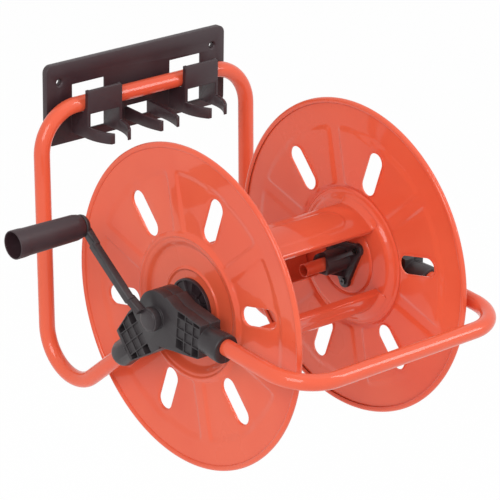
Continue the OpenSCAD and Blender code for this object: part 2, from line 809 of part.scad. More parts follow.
module grip_pin() color([0.7, 0.7, 0.72]) at_axle() at_yz(grip_yz) {
  rod_x(-knuckle_in - 0.6, -grip_floor - face_gap, pin_d / 2);
  rod_x(-grip_floor - face_gap, -grip_floor - face_gap - 2.5, pin_d / 2 + 3);
}

// tapered sleeve that turns on the grip's pin, with a thin rim round the hollow in its outer end
module crank_grip() color([0.17, 0.17, 0.19]) at_axle() at_yz(grip_yz) mirror([1, 0, 0]) turned() {
  r1 = grip_d / 2;
  bore = pin_d / 2 + run_gap;
  polygon([[bore, grip_in], [r1 - 3.9, grip_in], [r1 - 2.6, grip_in + 3], [r1 - 1.5, grip_in + 9],
    [r1 - 0.6, grip_out - 14], [r1, grip_out - 10], [r1, grip_out - 0.6], [r1 - 0.5, grip_out],
    [r1 - 1.4, grip_out], [r1 - 2.4, grip_floor], [bore, grip_floor]]);
}

wall_bracket();
rear_tube();
front_tube();
crank_housing_outer();
crank_housing_inner();
crank_housing_screws();
crank_bush();
inlet_housing_outer();
inlet_housing_inner();
inlet_housing_screws();
inlet_bush();
inlet_elbow();
inlet_elbow_screws();
inlet_seals();
crank_flange();
inlet_flange();
drum_bar_1();
drum_bar_2();
drum_bar_3();
crank_hub_outer();
crank_hub_inner();
crank_hub_screws();
inlet_hub_outer();
inlet_hub_inner();
inlet_hub_screws();
crank_axle();
water_tube();
crank_arm();
crank_screw();
crank_cap();
grip_pin();
crank_grip();
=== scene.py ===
"""Looks of a wall mounted hose reel.

A pressed and painted drum turns in a bent tube frame with moulded fittings.
"""

import math

import bmesh
import bpy
from bpy.props import FloatProperty, FloatVectorProperty, IntProperty, PointerProperty
from mathutils import Matrix, Vector
from mathutils.bvhtree import BVHTree


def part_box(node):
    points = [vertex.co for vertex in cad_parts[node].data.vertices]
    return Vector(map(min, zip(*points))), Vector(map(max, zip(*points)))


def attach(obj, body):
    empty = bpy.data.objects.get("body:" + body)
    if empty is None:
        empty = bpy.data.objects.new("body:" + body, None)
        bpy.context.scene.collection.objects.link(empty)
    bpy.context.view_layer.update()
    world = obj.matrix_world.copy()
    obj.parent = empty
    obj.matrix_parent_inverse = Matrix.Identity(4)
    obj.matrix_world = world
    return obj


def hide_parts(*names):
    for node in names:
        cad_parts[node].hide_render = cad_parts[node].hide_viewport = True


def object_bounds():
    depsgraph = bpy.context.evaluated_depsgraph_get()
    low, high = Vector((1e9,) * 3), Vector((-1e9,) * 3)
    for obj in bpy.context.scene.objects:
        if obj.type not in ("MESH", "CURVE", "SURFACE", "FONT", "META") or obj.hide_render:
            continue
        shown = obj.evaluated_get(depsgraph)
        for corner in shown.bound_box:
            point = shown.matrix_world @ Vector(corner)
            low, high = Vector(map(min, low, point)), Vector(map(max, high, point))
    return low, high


bl_info = {
    "name": "Wall Hose Reel",
    "version": (1, 0, 0),
    "blender": (4, 5, 0),
    "location": "View3D > Sidebar > Hose Reel",
    "description": "Builds the finished surfaces of a wall mounted hose reel round its solids",
    "category": "Object",
}

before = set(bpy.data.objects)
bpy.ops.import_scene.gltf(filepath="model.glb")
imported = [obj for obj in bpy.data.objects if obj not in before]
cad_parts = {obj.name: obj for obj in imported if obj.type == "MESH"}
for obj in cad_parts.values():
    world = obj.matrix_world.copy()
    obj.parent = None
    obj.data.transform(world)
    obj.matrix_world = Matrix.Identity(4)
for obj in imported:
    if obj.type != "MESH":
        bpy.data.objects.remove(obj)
SOLID_LOW, SOLID_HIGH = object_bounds()
MM = 0.001
# the drum's axle in the side plane, as millimetres along Y and Z
AXLE_Y, AXLE_Z = -250.0, -201.0
CRANK_SIDE, INLET_SIDE = -1, 1


def lerp(a, b, t):
    return a + (b - a) * t


def smooth(t):
    t = min(max(t, 0.0), 1.0)
    return t * t * (3.0 - 2.0 * t)


def swell(x, middle, half):
    """A rounded bump one unit high."""
    t = abs(x - middle) / half
    return 0.5 * (1.0 + math.cos(math.pi * t)) if t < 1.0 else 0.0


def about_axle(x, radius, turn):
    """Point at a station, a radius and an angle from the wall direction, in metres."""
    y = AXLE_Y + radius * math.cos(turn)
    z = AXLE_Z + radius * math.sin(turn)
    return Vector((x, y, z)) * MM


def side_point(x, y, z):
    """Point given from the axle in the side plane, in metres."""
    return Vector((x, AXLE_Y + y, AXLE_Z + z)) * MM


class ReelSizes(bpy.types.PropertyGroup):
    """Sizes of the surfaces that a user would change."""

    flange_radius: FloatProperty(
        name="Flange radius",
        description="Outside radius of the two flanges",
        default=(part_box("inlet_flange")[1].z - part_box("inlet_flange")[0].z) / 2,
        unit="LENGTH",
    )
    sheet: FloatProperty(
        name="Sheet",
        description="Thickness of the pressed sheet",
        default=0.0012,
        unit="LENGTH",
    )
    press_depth: FloatProperty(
        name="Press depth",
        description="Depth of the flange's six pressed panels",
        default=0.0019,
        unit="LENGTH",
    )
    bead_height: FloatProperty(
        name="Bead height",
        description="Height of the two round beads of a flange",
        default=0.0018,
        unit="LENGTH",
    )
    tube_radius: FloatProperty(
        name="Tube radius",
        description="Outside radius of the frame tube",
        default=0.0095,
        unit="LENGTH",
    )
    bend_radius: FloatProperty(
        name="Bend radius",
        description="Centre line radius of the tube's bends",
        default=0.052,
        unit="LENGTH",
    )
    edge_radius: FloatProperty(
        name="Moulded edge",
        description="Radius of the edges of the moulded pieces",
        default=0.0007,
        unit="LENGTH",
    )
    tube_sides: IntProperty(
        name="Tube sides", description="Faces round a tube", default=48, min=16
    )


class ReelFinish(bpy.types.PropertyGroup):
    """Colours and finishes that a user would change."""

    paint: FloatVectorProperty(
        name="Paint",
        description="Colour of the drum and the frame",
        default=(0.765, 0.117, 0.054),
        subtype="COLOR",
        size=3,
    )
    paint_shade: FloatVectorProperty(
        name="Paint shade",
        description="Deeper tone that the paint drifts to",
        default=(0.71, 0.088, 0.039),
        subtype="COLOR",
        size=3,
    )
    plastic: FloatVectorProperty(
        name="Plastic",
        description="Colour of the moulded pieces",
        default=(0.018, 0.0168, 0.018),
        subtype="COLOR",
        size=3,
    )
    # a warmer plastic tone that is partly the plastic's own colour and partly painted red bounce
    # from the red paint nearby
    plastic_warm: FloatVectorProperty(
        name="Warm plastic",
        description="Warmer tone of the mouldings with painted red bounce, as on the wall bracket and the grip",
        default=(0.032, 0.0125, 0.0165),
        subtype="COLOR",
        size=3,
    )
    # paler tone for the random mottle and for convex edges, where it is partly rubbed wear and
    # partly painted highlight
    plastic_edge: FloatVectorProperty(
        name="Plastic edge",
        description="Paler tone of rubbed plastic edges and painted edge highlight",
        default=(0.066, 0.063, 0.067),
        subtype="COLOR",
        size=3,
    )
    steel: FloatVectorProperty(
        name="Steel",
        description="Colour of the plated screws and the axle",
        default=(0.11, 0.11, 0.115),
        subtype="COLOR",
        size=3,
    )
    paint_roughness: FloatProperty(
        name="Paint roughness",
        description="How dull the paint is",
        default=0.30,
        min=0.0,
        max=1.0,
        subtype="FACTOR",
    )


class ReelStage(bpy.types.PropertyGroup):
    """Light and camera."""

    key_power: FloatProperty(
        name="Key light",
        description="Power of the large light at the left",
        default=48.0,
        unit="POWER",
    )
    top_power: FloatProperty(
        name="Top light", description="Power of the light above", default=3.0, unit="POWER"
    )
    strip_power: FloatProperty(
        name="Strip light",
        description="Power of the tall light at the right",
        default=32.0,
        unit="POWER",
    )
    sky: FloatProperty(
        name="Surround", description="Strength of the even light all round", default=0.60
    )
    lens: FloatProperty(
        name="Lens",
        description="Focal length of the camera",
        default=204.2,
        subtype="DISTANCE_CAMERA",
    )


class NodeBoard:
    """Places shader nodes in a tree and joins them."""

    def __init__(self, tree):
        self.tree = tree
        self.count = 0

    def add(self, kind, settings=None, **inputs):
        made = self.tree.nodes.new(kind)
        made.location = (-220 * (12 - self.count % 12), -260 * (self.count // 12))
        self.count += 1
        for key, value in (settings or {}).items():
            setattr(made, key, value)
        for key, value in inputs.items():
            self.feed(made, key.replace("_", " "), value)
        return made

    def feed(self, target, name, value):
        socket = target.inputs[int(name)] if name.isdigit() else target.inputs[name]
        if isinstance(value, bpy.types.NodeSocket):
            self.tree.links.new(value, socket)
        else:
            socket.default_value = value

    def math(self, operation, a, b):
        made = self.add("ShaderNodeMath", {"operation": operation})
        self.feed(made, "0", a)
        self.feed(made, "1", b)
        return made.outputs[0]

    def span(self, value, low, high, to_low, to_high):
        made = self.add("ShaderNodeMapRange", {"interpolation_type": "SMOOTHSTEP"})
        keys = ("Value", "From Min", "From Max", "To Min", "To Max")
        for key, given in zip(keys, (value, low, high, to_low, to_high)):
            self.feed(made, key, given)
        return made.outputs["Result"]

    def mix(self, share, a, b):
        made = self.add("ShaderNodeMix", {"data_type": "RGBA"})
        self.feed(made, "0", share)
        for number, given in ((6, a), (7, b)):
            self.feed(made, str(number), given)
        return made.outputs[2]

    def noise(self, where, scale, detail=2.0, rough=0.5):
        made = self.add("ShaderNodeTexNoise", {"noise_dimensions": "3D"})
        keys = ("Vector", "Scale", "Detail", "Roughness")
        for key, given in zip(keys, (where, scale, detail, rough)):
            self.feed(made, key, given)
        return made.outputs["Fac"]


def colour4(value):
    return (value[0], value[1], value[2], 1.0)


def effect_group(name, inputs, outputs, fill):
    """A shader node group with named sockets, made once."""
    known = bpy.data.node_groups.get(name)
    if known:
        return known
    tree = bpy.data.node_groups.new(name, "ShaderNodeTree")
    for label, kind, default in inputs:
        socket = tree.interface.new_socket(name=label, in_out="INPUT", socket_type=kind)
        socket.default_value = default
    for label, kind in outputs:
        tree.interface.new_socket(name=label, in_out="OUTPUT", socket_type=kind)
    board = NodeBoard(tree)
    given = board.add("NodeGroupInput")
    result = board.add("NodeGroupOutput")
    fill(board, given.outputs, result)
    return tree


SURFACE_OUTPUTS = (
    ("Colour", "NodeSocketColor"),
    ("Roughness", "NodeSocketFloat"),
    ("Height", "NodeSocketFloat"),
)


def fill_enamel(board, given, result):
    where = board.add("ShaderNodeTexCoord").outputs["Object"]
    drift = board.noise(where, 7.0, 3.0)
    fine = board.noise(where, 260.0, 3.0, 0.6)
    tone = board.mix(board.span(drift, 0.35, 0.70, 0.0, 0.85), given["Paint"], given["Shade"])
    dulled = board.mix(0.10, tone, given["Shade"])
    board.feed(result, "Colour", board.mix(fine, tone, dulled))
    rubbed = board.span(board.noise(where, 38.0, 6.0, 0.62), 0.56, 0.74, 0.0, given["Scuff"])
    dull = board.math("ADD", given["Roughness"], rubbed)
    uneven = board.span(drift, 0.3, 0.7, -0.03, 0.03)
    board.feed(result, "Roughness", board.math("ADD", dull, uneven))
    peel = board.noise(where, given["Peel"], 1.5, 0.45)
    board.feed(result, "Height", board.math("ADD", peel, board.math("MULTIPLY", fine, 0.12)))


def enamel_group():
    return effect_group(
        "Sprayed enamel",
        (
            ("Paint", "NodeSocketColor", (0.7, 0.1, 0.05, 1)),
            ("Shade", "NodeSocketColor", (0.6, 0.07, 0.03, 1)),
            ("Roughness", "NodeSocketFloat", 0.3),
            ("Scuff", "NodeSocketFloat", 0.1),
            ("Peel", "NodeSocketFloat", 330.0),
        ),
        SURFACE_OUTPUTS,
        fill_enamel,
    )


def fill_moulding(board, given, result):
    where = board.add("ShaderNodeTexCoord").outputs["Object"]
    cloud = board.noise(where, 16.0, 4.0, 0.55)
    grain = board.noise(where, given["Grain"], 2.0, 0.55)
    tone = board.mix(board.span(cloud, 0.35, 0.72, 0.0, 0.16), given["Plastic"], given["Edge"])
    speck = board.mix(board.span(grain, 0.45, 0.75, 0.0, 0.10), tone, given["Edge"])
    board.feed(result, "Colour", speck)
    dull = board.math("ADD", given["Roughness"], board.span(cloud, 0.3, 0.7, -0.05, 0.07))
    uneven = board.span(grain, 0.3, 0.7, -0.04, 0.04)
    board.feed(result, "Roughness", board.math("ADD", dull, uneven))
    board.feed(result, "Height", grain)


def moulding_group():
    return effect_group(
        "Moulded grain",
        (
            ("Plastic", "NodeSocketColor", (0.03, 0.025, 0.027, 1)),
            ("Edge", "NodeSocketColor", (0.08, 0.07, 0.075, 1)),
            ("Roughness", "NodeSocketFloat", 0.45),
            ("Grain", "NodeSocketFloat", 1400.0),
        ),
        SURFACE_OUTPUTS,
        fill_moulding,
    )


def fill_edges(board, given, result):
    sharp = board.add("ShaderNodeNewGeometry").outputs["Pointiness"]
    where = board.add("ShaderNodeTexCoord").outputs["Object"]
    broken = board.noise(where, 120.0, 4.0, 0.6)
    # convex edges turn paler, partly rubbed wear and partly painted highlight
    raised = board.span(sharp, 0.515, 0.60, 0.0, 1.0)
    patchy = board.span(broken, 0.32, 0.62, 0.25, 1.0)
    rubbed = board.math("MULTIPLY", raised, patchy)
    board.feed(result, "Mask", board.math("MULTIPLY", rubbed, given["Amount"]))


def edge_group():
    return effect_group(
        "Rubbed edges",
        (("Amount", "NodeSocketFloat", 0.5),),
        (("Mask", "NodeSocketFloat"),),
        fill_edges,
    )


def new_material(name):
    made = bpy.data.materials.new(name)
    made.use_nodes = True
    made.node_tree.nodes.clear()
    board = NodeBoard(made.node_tree)
    out = board.add("ShaderNodeOutputMaterial")
    skin = board.add("ShaderNodeBsdfPrincipled")
    board.feed(out, "Surface", skin.outputs["BSDF"])
    return made, board, skin


def place_group(board, tree, **values):
    made = board.add("ShaderNodeGroup", {"node_tree": tree})
    for key, value in values.items():
        board.feed(made, key, value)
    return made


def raise_bump(board, skin, height, strength, distance):
    bump = board.add("ShaderNodeBump", Strength=strength, Distance=distance, Height=height)
    board.feed(skin, "Normal", bump.outputs["Normal"])


def enamel(finish, name, scuff, peel):
    """Glossy sprayed paint with a slight orange peel and faint scuffs."""
    made, board, skin = new_material(name)
    coat = place_group(
        board,
        enamel_group(),
        Paint=colour4(finish.paint),
        Shade=colour4(finish.paint_shade),
        Roughness=finish.paint_roughness,
        Scuff=scuff,
        Peel=peel,
    )
    board.feed(skin, "Base Color", coat.outputs["Colour"])
    board.feed(skin, "Roughness", coat.outputs["Roughness"])
    raise_bump(board, skin, coat.outputs["Height"], 0.08, 0.0006)
    skin.inputs["IOR"].default_value = 1.22
    skin.inputs["Coat Weight"].default_value = 0.5
    skin.inputs["Coat Roughness"].default_value = 0.05
    return made


def moulding(finish, name, roughness, grain, wear_and_highlight, warm):
    """Dark moulded plastic with a fine spark grain, a warm tone partly painted red bounce, and
    paler edges that are partly rubbed wear and partly painted highlight.
    """
    made, board, skin = new_material(name)
    # the warm share mixes in the warm tone, partly painted red bounce from the paint
    base = [lerp(a, b, warm) for a, b in zip(finish.plastic, finish.plastic_warm)]
    coat = place_group(
        board,
        moulding_group(),
        Plastic=colour4(base),
        Edge=colour4(finish.plastic_edge),
        Roughness=roughness,
        Grain=grain,
    )
    # edges paler by pointiness, partly rubbed wear and partly painted highlight
    worn_and_highlit = place_group(board, edge_group(), Amount=wear_and_highlight)
    tone = board.mix(worn_and_highlit.outputs["Mask"], coat.outputs["Colour"], colour4(finish.plastic_edge))
    board.feed(skin, "Base Color", tone)
    board.feed(skin, "Roughness", coat.outputs["Roughness"])
    raise_bump(board, skin, coat.outputs["Height"], 0.22, 0.0003)
    skin.inputs["IOR"].default_value = 1.45
    return made


def plated_steel(finish, name, roughness):
    """Zinc plated steel with fine turning marks and cloudy passivation."""
    made, board, skin = new_material(name)
    where = board.add("ShaderNodeTexCoord").outputs["Object"]
    squeezed = board.add("ShaderNodeMapping", Scale=(2600.0, 300.0, 300.0), Vector=where)
    marks = board.noise(squeezed.outputs["Vector"], 1.0, 2.0)
    cloud = board.noise(where, 90.0, 4.0)
    pale = colour4(finish.steel)
    warm = colour4([c * k for c, k in zip(finish.steel, (0.80, 0.76, 0.66))])
    board.feed(skin, "Base Color", board.mix(board.span(cloud, 0.4, 0.7, 0.0, 0.7), pale, warm))
    dull = board.math("ADD", board.span(marks, 0.3, 0.7, -0.06, 0.08), roughness)
    board.feed(skin, "Roughness", dull)
    raise_bump(board, skin, marks, 0.12, 0.0001)
    skin.inputs["Metallic"].default_value = 1.0
    return made


def natural_nylon():
    """Off white bearing plastic."""
    made, board, skin = new_material("Bush nylon")
    where = board.add("ShaderNodeTexCoord").outputs["Object"]
    cloud = board.noise(where, 60.0, 4.0)
    fine = board.noise(where, 1500.0, 2.0)
    board.feed(skin, "Base Color", board.mix(cloud, (0.70, 0.67, 0.58, 1), (0.60, 0.56, 0.46, 1)))
    board.feed(skin, "Roughness", board.span(fine, 0.3, 0.7, 0.36, 0.50))
    raise_bump(board, skin, fine, 0.15, 0.0002)
    skin.inputs["Subsurface Weight"].default_value = 0.05
    return made


def seal_rubber():
    """Black rubber of the sealing rings."""
    made, board, skin = new_material("Seal rubber")
    where = board.add("ShaderNodeTexCoord").outputs["Object"]
    cloud = board.noise(where, 200.0, 3.0)
    black, grey = (0.012, 0.012, 0.012, 1), (0.03, 0.03, 0.03, 1)
    board.feed(skin, "Base Color", board.mix(cloud, black, grey))
    board.feed(skin, "Roughness", board.span(cloud, 0.3, 0.7, 0.55, 0.75))
    raise_bump(board, skin, cloud, 0.2, 0.0002)
    return made


# name, scuff and peel of each painted slot
ENAMELS = {
    "frame_paint": ("Frame enamel", 0.12, 360.0),
    "flange_paint": ("Flange enamel", 0.10, 300.0),
    "bar_paint": ("Bar enamel", 0.12, 320.0),
    "tube_paint": ("Water tube enamel", 0.10, 420.0),
}
# name, roughness, grain, edge wear with painted edge highlight, and share of the warm tone with
# painted red bounce of each moulded slot
MOULDINGS = {
    "bracket_plastic": ("Bracket plastic", 0.46, 1300.0, 0.55, 1.0),
    "housing_plastic": ("Housing plastic", 0.40, 1500.0, 0.7, 0.25),
    "hub_plastic": ("Hub plastic", 0.36, 1500.0, 0.7, 0.7),
    "crank_plastic": ("Crank plastic", 0.40, 1500.0, 0.7, 0.4),
    "grip_plastic": ("Grip plastic", 0.46, 1100.0, 0.5, 1.0),
}
# name and roughness of each steel slot
STEELS = {
    "screw_steel": ("Plated screws", 0.34),
    "axle_steel": ("Turned axle", 0.26),
}
PLAIN = {"bush_plastic": natural_nylon, "seal_rubber": seal_rubber}
FINISHES = {}


def new_finish(slot):
    finish = bpy.context.scene.reel_finish
    if slot in PLAIN:
        return PLAIN[slot]()
    for maker, slots in ((enamel, ENAMELS), (moulding, MOULDINGS), (plated_steel, STEELS)):
        if slot in slots:
            return maker(finish, *slots[slot])
    raise KeyError(slot)


def finish_for(slot):
    """The material that belongs to a material slot of the part."""
    if slot not in FINISHES:
        FINISHES[slot] = new_finish(slot)
    return FINISHES[slot]


def shade_mesh(mesh, angle):
    for face in mesh.polygons:
        face.use_smooth = True
    mesh.set_sharp_from_angle(angle=math.radians(angle))


def settle(piece, angle):
    """Applies a piece's modifiers and shades the result."""
    bpy.context.view_layer.update()
    seen = piece.evaluated_get(bpy.context.evaluated_depsgraph_get())
    mesh = bpy.data.meshes.new_from_object(seen)
    old = piece.data
    piece.modifiers.clear()
    piece.data = mesh
    mesh.name = piece.name
    bpy.data.meshes.remove(old)
    shade_mesh(mesh, angle)


def show(mesh, name, body, slot, *nodes):
    """Puts a mesh in the scene as a piece that rides on a body and stands for solids."""
    piece = bpy.data.objects.new(name, mesh)
    bpy.context.scene.collection.objects.link(piece)
    mesh.materials.clear()
    mesh.materials.append(finish_for(slot))
    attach(piece, body)
    if nodes:
        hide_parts(*nodes)
    return piece


class Sheet:
    """Collects points and grids of faces, and welds them into one mesh."""

    def __init__(self):
        self.points = []
        self.faces = []

    def row(self, points):
        first = len(self.points)
        self.points.extend(points)
        return list(range(first, len(self.points)))

    def grid(self, rows, closed=False):
        for low, high in zip(rows, rows[1:]):
            count = len(low) if closed else len(low) - 1
            for i in range(count):
                k = (i + 1) % len(low)
                self.faces.append((low[i], low[k], high[k], high[i]))

    def mesh(self, name, weld, flip=False):
        made = bpy.data.meshes.new(name)
        made.from_pydata([tuple(p) for p in self.points], [], self.faces)
        shell = bmesh.new()
        shell.from_mesh(made)
        bmesh.ops.remove_doubles(shell, verts=shell.verts, dist=weld)
        bmesh.ops.dissolve_degenerate(shell, edges=shell.edges, dist=1e-6)
        if flip:
            bmesh.ops.reverse_faces(shell, faces=shell.faces)
        shell.to_mesh(made)
        shell.free()
        return made


def thicken(piece, thickness):
    """Gives a sheet its thickness, inward from the face that was drawn."""
    grown = piece.modifiers.new("Sheet", "SOLIDIFY")
    grown.thickness = thickness
    grown.offset = -1.0
    grown.use_even_offset = True
    grown.use_rim = True
    settle(piece, 42.0)


def filleted(corners, radius, step):
    """Points along a line whose inner corners are rounded, with a step in degrees."""
    path = [corners[0]]
    for before, corner, after in zip(corners, corners[1:], corners[2:]):
        u, w = (before - corner).normalized(), (after - corner).normalized()
        apart = u.angle(w)
        back = radius / math.tan(apart / 2)
        middle = corner + (u + w).normalized() * (radius / math.sin(apart / 2))
        start = corner + u * back - middle
        axis = start.cross(corner + w * back - middle).normalized()
        turn = math.pi - apart
        count = max(4, round(math.degrees(turn) / step))
        for i in range(count + 1):
            path.append(middle + Matrix.Rotation(turn * i / count, 3, axis) @ start)
    path.append(corners[-1])
    return path


def swept(name, path, radius, sides):
    """A round tube along a path with closed ends."""
    tangents = []
    for i in range(len(path)):
        tangents.append((path[min(i + 1, len(path) - 1)] - path[max(i - 1, 0)]).normalized())
    side = tangents[0].orthogonal().normalized()
    turns = [2 * math.pi * i / sides for i in range(sides)]
    circle = [(radius * math.cos(t), radius * math.sin(t)) for t in turns]
    sheet = Sheet()
    rows = []
    for point, along in zip(path, tangents):
        side = (side - along * side.dot(along)).normalized()
        across = along.cross(side)
        rows.append(sheet.row([point + side * a + across * b for a, b in circle]))
    sheet.grid(rows, closed=True)
    sheet.faces.append(tuple(reversed(rows[0])))
    sheet.faces.append(tuple(rows[-1]))
    return sheet.mesh(name, weld=1e-7)


def turned(name, outline, x_of, centre, sides):
    """A round piece about the X direction, from an outline of radius and station."""
    sheet = Sheet()
    rows = []
    for radius, station in outline:
        points = []
        for i in range(sides):
            t = 2 * math.pi * i / sides
            y, z = centre[0] + radius * math.cos(t), centre[1] + radius * math.sin(t)
            points.append(Vector((x_of(station), y, z)) * MM)
        rows.append(sheet.row(points))
    sheet.grid(rows, closed=True)
    made = sheet.mesh(name, weld=1e-7)
    shell = bmesh.new()
    shell.from_mesh(made)
    bmesh.ops.recalc_face_normals(shell, faces=shell.faces)
    shell.to_mesh(made)
    shell.free()
    return made


def eased(outline, radius, steps=3):
    """An outline with its inner corners rounded."""
    points = [Vector((r, x, 0.0)) for r, x in outline]
    made = [points[0]]
    for before, corner, after in zip(points, points[1:], points[2:]):
        u, w = before - corner, after - corner
        reach = min(radius, u.length * 0.45, w.length * 0.45)
        start, end = corner + u.normalized() * reach, corner + w.normalized() * reach
        for i in range(steps + 1):
            t = i / steps
            made.append(lerp(lerp(start, corner, t), lerp(corner, end, t), t))
    made.append(points[-1])
    return [(p.x, p.y) for p in made]


# stations of the pressed flange, in millimetres
PANEL_IN, PANEL_OUT = 87.0, 158.0
SECTOR_IN, SECTOR_OUT = 85.0, 161.0
SLOT_MIDDLE, SLOT_REACH, SLOT_ROUND = 119.0, 17.0, 11.0
SLOT_TURN = math.radians(48.3)
SECTORS, HALF_SECTOR = 6, math.radians(30)
RIB_HALF = 7.5
DISH_IN, DISH_OUT, DISH_DEEP, DISH_EASE = 69.0, 78.0, 7.0, 1.0
BAND_DEEP = 1.0
# the radius and half width of the two round beads
BEADS = ((83.0, 3.7), (44.0, 3.0))
# the outer skirt leans out past this radius, after a short round
SKIRT, SKIRT_ROUND, SKIRT_LEAN = 160.0, 3.0, 0.083
RIM_PLANE = 125.0
RIM_BEAD = 3.5
# the angles at which the rolled rim starts and stops, and the flat before it
RIM_START, RIM_STOP, RIM_STEPS, RIM_FLAT = -165.0, 146.0, 30, 4.3
HUB_HOLE = 20.2
# the slot's rolled lip, as distance from the slot's edge and drop below the panel
SLOT_LIP = ((0.0, 3.0), (0.0, 1.7), (0.12, 1.1), (0.45, 0.55), (0.95, 0.18), (1.6, 0.0))
# how far a panel's border slopes inward and outward at its inner arc, outer arc and sides
INNER_SLOPES, OUTER_SLOPES, SIDE_SLOPES = (3.2, 1.8), (12.0, 3.4), (5.0, 2.4)
# a higher power leaves a smaller round in the panel's corners
CORNER_POWER = 18
# rows of points on the panel's floor, its sloping border and the plain sheet round it
FLOOR_ROWS, BORDER_ROWS, PLAIN_ROWS = 4, 8, 2


def sheet_depth(radius, sizes):
    """Distance of the flange's outer face inboard of the rim plane, without the panels."""
    bead = sizes.bead_height / MM
    slope = DISH_OUT - DISH_IN + 2 * DISH_EASE
    dish = 1.0 - smooth((radius - DISH_IN + DISH_EASE) / slope)
    depth = BAND_DEEP + (DISH_DEEP - BAND_DEEP) * dish
    depth -= sum(bead * swell(radius, middle, half) for middle, half in BEADS)
    over = radius - SKIRT
    if over < -SKIRT_ROUND:
        rise = 0.0
    elif over < SKIRT_ROUND:
        rise = (over + SKIRT_ROUND) ** 2 / (4 * SKIRT_ROUND)
    else:
        rise = over
    return depth - rise * SKIRT_LEAN


def slot_edge(direction):
    """Distance from the slot's middle to its edge along a direction."""
    du, dv = abs(direction[0]), abs(direction[1])
    if dv > 1e-9 and SLOT_ROUND / dv * du <= SLOT_REACH:
        return SLOT_ROUND / dv
    inside = (SLOT_REACH * du) ** 2 - (SLOT_REACH**2 - SLOT_ROUND**2)
    return SLOT_REACH * du + math.sqrt(max(inside, 0.0))


def panel_edge(direction):
    """How far the panel's rounded border is from the slot's middle, and its slopes in and out."""
    du, dv = direction
    found = []
    for radius, slopes in ((PANEL_IN, INNER_SLOPES), (PANEL_OUT, OUTER_SLOPES)):
        b, c = SLOT_MIDDLE * du, SLOT_MIDDLE**2 - radius**2
        inside = b * b - c
        if inside >= 0:
            root = -b + math.sqrt(inside) if radius == PANEL_OUT else -b - math.sqrt(inside)
            if root > 0:
                found.append((root**-CORNER_POWER, *slopes))
    for s in (-1, 1):
        across = -0.5 * du + s * math.cos(HALF_SECTOR) * dv
        if across > 1e-9:
            reach = (0.5 * SLOT_MIDDLE - RIB_HALF) / across
            found.append((reach**-CORNER_POWER, *SIDE_SLOPES))
    whole = sum(share for share, _, _ in found)
    inward = sum(share * a for share, a, _ in found) / whole
    outward = sum(share * b for share, _, b in found) / whole
    return whole ** (-1 / CORNER_POWER), inward, outward


def sector_border(arc_out, arc_in, sides):
    """Points round one sixth of the flange, anticlockwise, in the slot's own axes."""
    half = HALF_SECTOR
    points = []
    for i in range(arc_out):
        t = lerp(-half, half, i / arc_out)
        points.append((SECTOR_OUT * math.cos(t), SECTOR_OUT * math.sin(t)))
    for i in range(sides):
        r = lerp(SECTOR_OUT, SECTOR_IN, i / sides)
        points.append((r * math.cos(half), r * math.sin(half)))
    for i in range(arc_in):
        t = lerp(half, -half, i / arc_in)
        points.append((SECTOR_IN * math.cos(t), SECTOR_IN * math.sin(t)))
    for i in range(sides):
        r = lerp(SECTOR_IN, SECTOR_OUT, i / sides)
        points.append((r * math.cos(half), -r * math.sin(half)))
    return points


def sector_rows(border, sizes):
    """Rows of points from the slot's lip to the sector's border, as u, v and depth."""
    press = sizes.press_depth / MM
    floor = BAND_DEEP + press
    lip_width = SLOT_LIP[-1][0]
    columns = []
    for u, v in border:
        du, dv = u - SLOT_MIDDLE, v
        far = math.hypot(du, dv)
        du, dv = du / far, dv / far
        near = slot_edge((du, dv))
        su, sv = near * du, near * dv
        nu, nv = su - min(max(su, -SLOT_REACH), SLOT_REACH), sv
        size = math.hypot(nu, nv)
        nu, nv = nu / size, nv / size
        column = []
        for out, down in SLOT_LIP:
            column.append((SLOT_MIDDLE + su + nu * out, sv + nv * out, floor + down))
        start = (SLOT_MIDDLE + su + nu * lip_width, sv + nv * lip_width)
        edge, inward, outward = panel_edge((du, dv))
        room = edge - near - lip_width
        inward, outward = min(inward, 0.65 * room), min(outward, 0.7 * (far - edge))
        foot = (SLOT_MIDDLE + du * (edge - inward), dv * (edge - inward))
        for i in range(1, FLOOR_ROWS + 1):
            t = i / FLOOR_ROWS
            column.append((lerp(start[0], foot[0], t), lerp(start[1], foot[1], t), floor))
        beyond = []
        for i in range(1, BORDER_ROWS + 1):
            t = i / BORDER_ROWS
            beyond.append((edge + lerp(-inward, outward, t), press * (1.0 - smooth(t))))
        for i in range(1, PLAIN_ROWS + 1):
            beyond.append((lerp(edge + outward, far, i / PLAIN_ROWS), 0.0))
        for at, pressed in beyond:
            pu, pv = SLOT_MIDDLE + du * at, dv * at
            column.append((pu, pv, sheet_depth(math.hypot(pu, pv), sizes) + pressed))
        columns.append(column)
    return list(zip(*columns))


